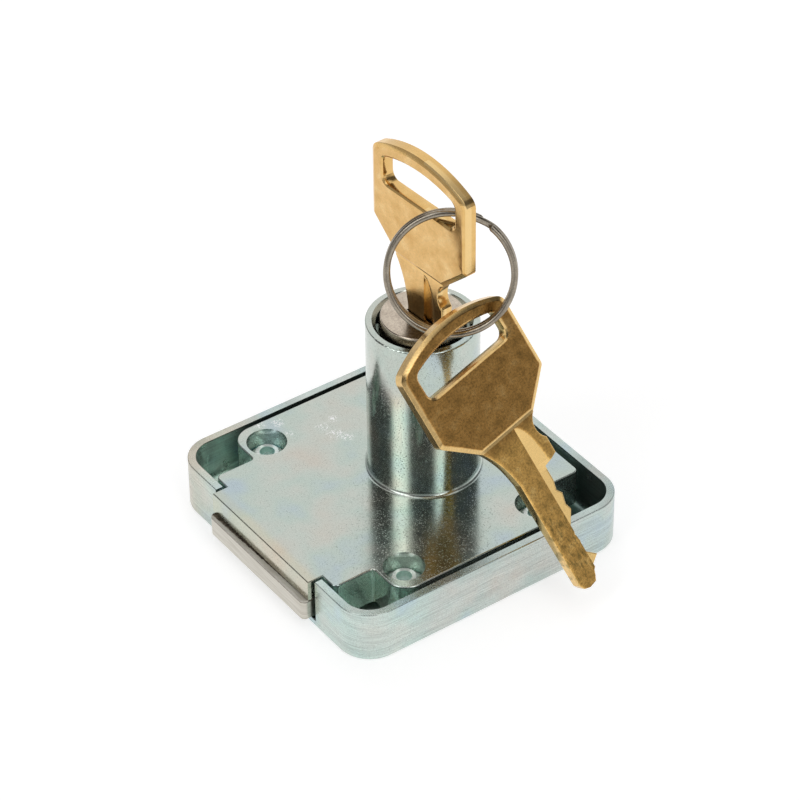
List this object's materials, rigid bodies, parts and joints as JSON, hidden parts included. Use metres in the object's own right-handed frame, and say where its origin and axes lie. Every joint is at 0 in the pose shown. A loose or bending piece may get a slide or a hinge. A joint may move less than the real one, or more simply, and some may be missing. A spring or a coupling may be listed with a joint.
{
  "type": "surface-mounted furniture lock",
  "caption": "Square surface-mounted furniture lock with a round key cylinder, a sliding bolt, an inserted key and a spare key on a split ring.",
  "frame": {"origin": "on the cylinder's axis, in the plane of the case's back", "axes": "+Z along the cylinder towards the key, -Y the way the bolt throws, +X across the bolt"},
  "size_m": [0.0656, 0.057, 0.0725],
  "materials": {
    "drawn_steel": "drawn steel, nickel plated, linished in fine horizontal lines",
    "zinc_die_cast": "zinc die casting, polished and nickel plated",
    "bolt_steel": "plain zinc bolt with a rough, browned top edge",
    "plated_brass": "brass, polished and nickel plated",
    "inner_steel": "stamped steel",
    "wafer_brass": "stamped brass",
    "spring_steel": "spring wire",
    "key_brass": "stamped and milled brass, light polish",
    "key_brass_worn": "stamped and milled brass, darkened",
    "ring_steel": "drawn spring wire"
  },
  "bodies": {
    "case": {"case_shell": "drawn_steel", "lock_body": "zinc_die_cast"},
    "bolt": {"bolt": "bolt_steel"},
    "plug": {"cylinder_plug": "plated_brass", "drive_cam": "inner_steel", "crank_pin": "inner_steel", "retainer_wafer": "wafer_brass", "retainer_spring": "spring_steel", "wafer_spring_1": "spring_steel", "wafer_spring_2": "spring_steel", "wafer_spring_3": "spring_steel", "wafer_spring_4": "spring_steel", "wafer_spring_5": "spring_steel"},
    "key": {"key_in_lock": "key_brass"},
    "ring": {"split_ring": "ring_steel"},
    "spare": {"spare_key": "key_brass_worn"},
    "wafer_1": {"wafer_1": "wafer_brass"},
    "wafer_2": {"wafer_2": "wafer_brass"},
    "wafer_3": {"wafer_3": "wafer_brass"},
    "wafer_4": {"wafer_4": "wafer_brass"},
    "wafer_5": {"wafer_5": "wafer_brass"}
  },
  "joints": [
    {"name": "plug_turn", "type": "hinge", "parent": "case", "child": "plug", "pos_m": [0, 0, 0.025], "axis": [0, 0, 1], "range_deg": [0, 180]},
    {"name": "bolt_slide", "type": "slide", "parent": "case", "child": "bolt", "axis": [0, -1, 0], "range_m": [0, 0.008]},
    {"name": "key_pull", "type": "slide", "parent": "plug", "child": "key", "axis": [0, 0, 1], "range_m": [0, 0.025]},
    {"name": "ring_swing", "type": "hinge", "parent": "key", "child": "ring", "pos_m": [0.00609, 0.00038, 0.0647], "axis": [-0.6082, -0.7901, -0.0764], "range_deg": [-2, 12]},
    {"name": "spare_swing", "type": "hinge", "parent": "ring", "child": "spare", "pos_m": [0.01394, 0.00064, 0.04618], "axis": [0.47, 0.7856, 0.4024], "range_deg": [-12, 3]},
    {"name": "wafer_slide_1", "type": "slide", "parent": "plug", "child": "wafer_1", "axis": [-0.998, -0.0628, 0], "range_m": [0, 0.0009]},
    {"name": "wafer_slide_2", "type": "slide", "parent": "plug", "child": "wafer_2", "axis": [-0.998, -0.0628, 0], "range_m": [0, 0.0009]},
    {"name": "wafer_slide_3", "type": "slide", "parent": "plug", "child": "wafer_3", "axis": [-0.998, -0.0628, 0], "range_m": [0, 0.0009]},
    {"name": "wafer_slide_4", "type": "slide", "parent": "plug", "child": "wafer_4", "axis": [-0.998, -0.0628, 0], "range_m": [0, 0.0009]},
    {"name": "wafer_slide_5", "type": "slide", "parent": "plug", "child": "wafer_5", "axis": [-0.998, -0.0628, 0], "range_m": [0, 0.0009]}
  ],
  "couplings": [
    {"joint": "bolt_slide", "follows": "plug_turn", "m_per_rad": 0.0025464},
    {"joint": "wafer_slide_1", "follows": "key_pull", "ratio": 0.036},
    {"joint": "wafer_slide_2", "follows": "key_pull", "ratio": 0.036},
    {"joint": "wafer_slide_3", "follows": "key_pull", "ratio": 0.036},
    {"joint": "wafer_slide_4", "follows": "key_pull", "ratio": 0.036},
    {"joint": "wafer_slide_5", "follows": "key_pull", "ratio": 0.036}
  ]
}
